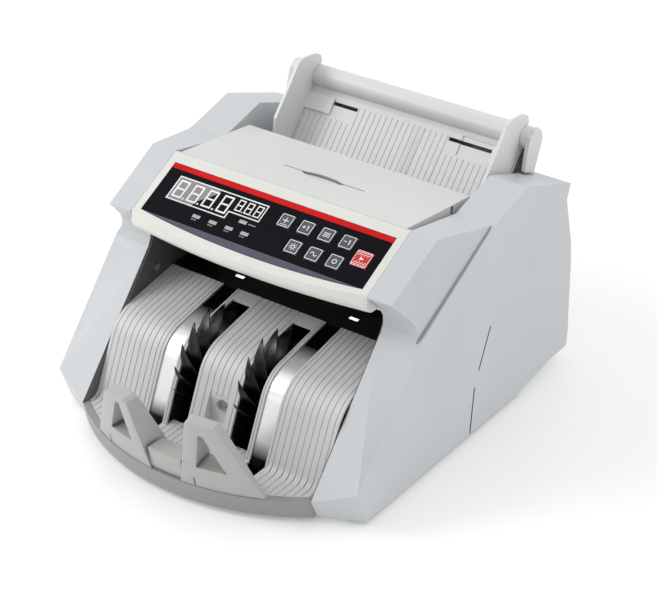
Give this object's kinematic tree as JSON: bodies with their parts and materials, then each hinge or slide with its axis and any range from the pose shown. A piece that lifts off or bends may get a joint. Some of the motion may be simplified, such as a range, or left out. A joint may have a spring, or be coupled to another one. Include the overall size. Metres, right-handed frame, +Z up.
{
  "type": "banknote counting machine",
  "caption": "Desktop banknote counter with a rear hopper, sloping key panel and display, and a front stacker bay with impeller wheels between ribbed plates.",
  "frame": {"origin": "on the table under the middle of the machine's box", "axes": "+X to the machine's right seen from its front, +Y to the rear, +Z up"},
  "size_m": [0.28, 0.3496, 0.215],
  "materials": {
    "housing": "fine moulded texture",
    "bezel": "satin",
    "overlay": "printed film",
    "window": "smooth",
    "indicator": "smooth",
    "key_grey": "satin",
    "key_red": "satin",
    "plate": "fine moulded texture",
    "sensor_black": "smooth",
    "lamp": "diffusing",
    "strip": "polished",
    "liner": "matt",
    "wheel_rubber": "satin",
    "tyre_rubber": "ground",
    "shaft_steel": "ground",
    "pulley": "moulded",
    "belt": "matt",
    "bronze": "sintered",
    "chassis": "powder coat",
    "motor": "satin",
    "board": "solder mask",
    "transformer": "varnished",
    "fitting": "moulded",
    "foot": "matt",
    "screw": "zinc plated"
  },
  "bodies": {
    "chassis": {"base_pan": "housing", "stacker_deck": "plate", "side_cover_left": "housing", "side_cover_right": "housing", "rear_panel": "housing", "chassis_plate_left": "chassis", "chassis_plate_right": "chassis", "tie_rods": "shaft_steel", "control_bezel": "bezel", "panel_overlay": "overlay", "display_window": "window", "indicator_windows": "indicator", "display_board": "board", "sensor_bar": "sensor_black", "lamp_windows": "lamp", "stacker_plate_left": "plate", "stacker_plate_right": "plate", "stacker_plate_centre": "plate", "chute_strips": "strip", "wheel_wells": "liner", "note_stops": "plate", "bearings": "bronze", "main_motor": "motor", "stacker_motor": "motor", "feed_belt": "belt", "main_belt": "belt", "stacker_belt": "belt", "hopper_tray": "housing", "transformer": "transformer", "main_board": "board", "power_inlet": "fitting", "fuse_holder": "fitting", "rubber_feet": "foot", "case_screws": "screw"},
    "top_cover": {"top_cover": "housing"},
    "guide_left": {"guide_left": "plate"},
    "guide_right": {"guide_right": "plate"},
    "stacker_rotor": {"stacker_shaft": "shaft_steel", "impeller_left": "wheel_rubber", "impeller_right": "wheel_rubber", "stacker_pulley": "pulley"},
    "count_rotor": {"count_shaft": "shaft_steel", "count_tyres": "tyre_rubber", "count_pulleys": "pulley"},
    "feed_rotor": {"feed_shaft": "shaft_steel", "feed_tyres": "tyre_rubber", "feed_pulley": "pulley"},
    "main_motor_rotor": {"main_motor_pulley": "shaft_steel"},
    "stacker_motor_rotor": {"stacker_motor_pulley": "shaft_steel"},
    "rocker": {"power_rocker": "fitting"},
    "knob": {"gap_knob": "fitting"},
    "key_add_cap": {"key_add": "key_grey"},
    "key_plus_cap": {"key_plus": "key_grey"},
    "key_batch_cap": {"key_batch": "key_grey"},
    "key_minus_cap": {"key_minus": "key_grey"},
    "key_ir_cap": {"key_ir": "key_grey"},
    "key_uv_cap": {"key_uv": "key_grey"},
    "key_clear_cap": {"key_clear": "key_grey"},
    "key_start_cap": {"key_start": "key_red"}
  },
  "joints": [
    {"name": "stacker_spin", "type": "hinge", "parent": "chassis", "child": "stacker_rotor", "pos_m": [0, -0.0672, 0.052], "axis": [1, 0, 0], "continuous": true},
    {"name": "count_spin", "type": "hinge", "parent": "chassis", "child": "count_rotor", "pos_m": [0, 0.022, 0.074], "axis": [1, 0, 0], "continuous": true},
    {"name": "feed_spin", "type": "hinge", "parent": "chassis", "child": "feed_rotor", "pos_m": [0, 0.066, 0.092], "axis": [1, 0, 0], "continuous": true},
    {"name": "main_motor_spin", "type": "hinge", "parent": "chassis", "child": "main_motor_rotor", "pos_m": [0, 0.062, 0.038], "axis": [1, 0, 0], "continuous": true},
    {"name": "stacker_motor_spin", "type": "hinge", "parent": "chassis", "child": "stacker_motor_rotor", "pos_m": [0, -0.008, 0.034], "axis": [1, 0, 0], "continuous": true},
    {"name": "cover_hinge", "type": "hinge", "parent": "chassis", "child": "top_cover", "pos_m": [0, -0.0111, 0.1819], "axis": [1, 0, 0], "range_deg": [0, 65]},
    {"name": "guide_left_slide", "type": "slide", "parent": "chassis", "child": "guide_left", "axis": [1, 0, 0], "range_m": [-0.008, 0.022]},
    {"name": "guide_right_slide", "type": "slide", "parent": "chassis", "child": "guide_right", "axis": [1, 0, 0], "range_m": [-0.03, 0]},
    {"name": "power_rocker_tilt", "type": "hinge", "parent": "chassis", "child": "rocker", "pos_m": [0.0407, 0.15925, 0.031], "axis": [1, 0, 0], "range_deg": [-10, 0]},
    {"name": "gap_knob_turn", "type": "hinge", "parent": "chassis", "child": "knob", "pos_m": [-0.06, 0.165, 0.06], "axis": [0, 1, 0], "range_deg": [-150, 150]},
    {"name": "key_add_press", "type": "slide", "parent": "chassis", "child": "key_add_cap", "axis": [0, -0.4682, 0.8836], "range_m": [-0.0005, 0], "stiffness_N_per_m": 200},
    {"name": "key_plus_press", "type": "slide", "parent": "chassis", "child": "key_plus_cap", "axis": [0, -0.4682, 0.8836], "range_m": [-0.0005, 0], "stiffness_N_per_m": 200},
    {"name": "key_batch_press", "type": "slide", "parent": "chassis", "child": "key_batch_cap", "axis": [0, -0.4682, 0.8836], "range_m": [-0.0005, 0], "stiffness_N_per_m": 200},
    {"name": "key_minus_press", "type": "slide", "parent": "chassis", "child": "key_minus_cap", "axis": [0, -0.4682, 0.8836], "range_m": [-0.0005, 0], "stiffness_N_per_m": 200},
    {"name": "key_ir_press", "type": "slide", "parent": "chassis", "child": "key_ir_cap", "axis": [0, -0.4682, 0.8836], "range_m": [-0.0005, 0], "stiffness_N_per_m": 200},
    {"name": "key_uv_press", "type": "slide", "parent": "chassis", "child": "key_uv_cap", "axis": [0, -0.4682, 0.8836], "range_m": [-0.0005, 0], "stiffness_N_per_m": 200},
    {"name": "key_clear_press", "type": "slide", "parent": "chassis", "child": "key_clear_cap", "axis": [0, -0.4682, 0.8836], "range_m": [-0.0005, 0], "stiffness_N_per_m": 200},
    {"name": "key_start_press", "type": "slide", "parent": "chassis", "child": "key_start_cap", "axis": [0, -0.4682, 0.8836], "range_m": [-0.0005, 0], "stiffness_N_per_m": 200}
  ],
  "couplings": [
    {"joint": "feed_spin", "follows": "count_spin", "ratio": 1},
    {"joint": "main_motor_spin", "follows": "count_spin", "ratio": 1.7143},
    {"joint": "stacker_motor_spin", "follows": "stacker_spin", "ratio": 1.7143}
  ]
}
